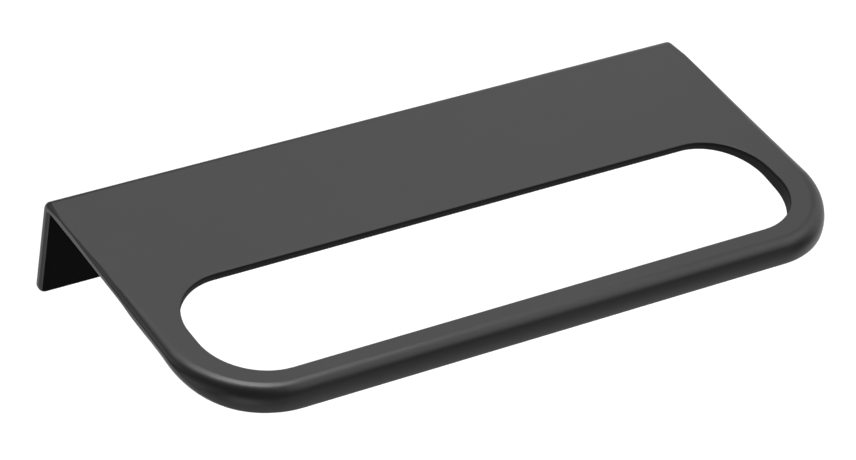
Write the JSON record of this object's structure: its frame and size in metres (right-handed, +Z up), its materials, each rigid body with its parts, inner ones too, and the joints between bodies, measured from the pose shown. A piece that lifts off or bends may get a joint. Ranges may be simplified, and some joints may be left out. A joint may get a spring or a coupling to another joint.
{
  "type": "furniture handle",
  "caption": "Matte black edge pull for a drawer or door front: a thin plate with a long finger slot, a rounded grip bar in front and a low screw flange behind.",
  "frame": {"origin": "midway between the screw holes, on the flange face that meets the panel", "axes": "+X along the handle, -Y towards the user, +Z up out of the plate's top face"},
  "size_m": [0.12, 0.0549, 0.0178],
  "materials": {
    "black_coat": "matte black powder coat"
  },
  "bodies": {
    "root": {"edge_pull": "black_coat"}
  },
  "joints": []
}
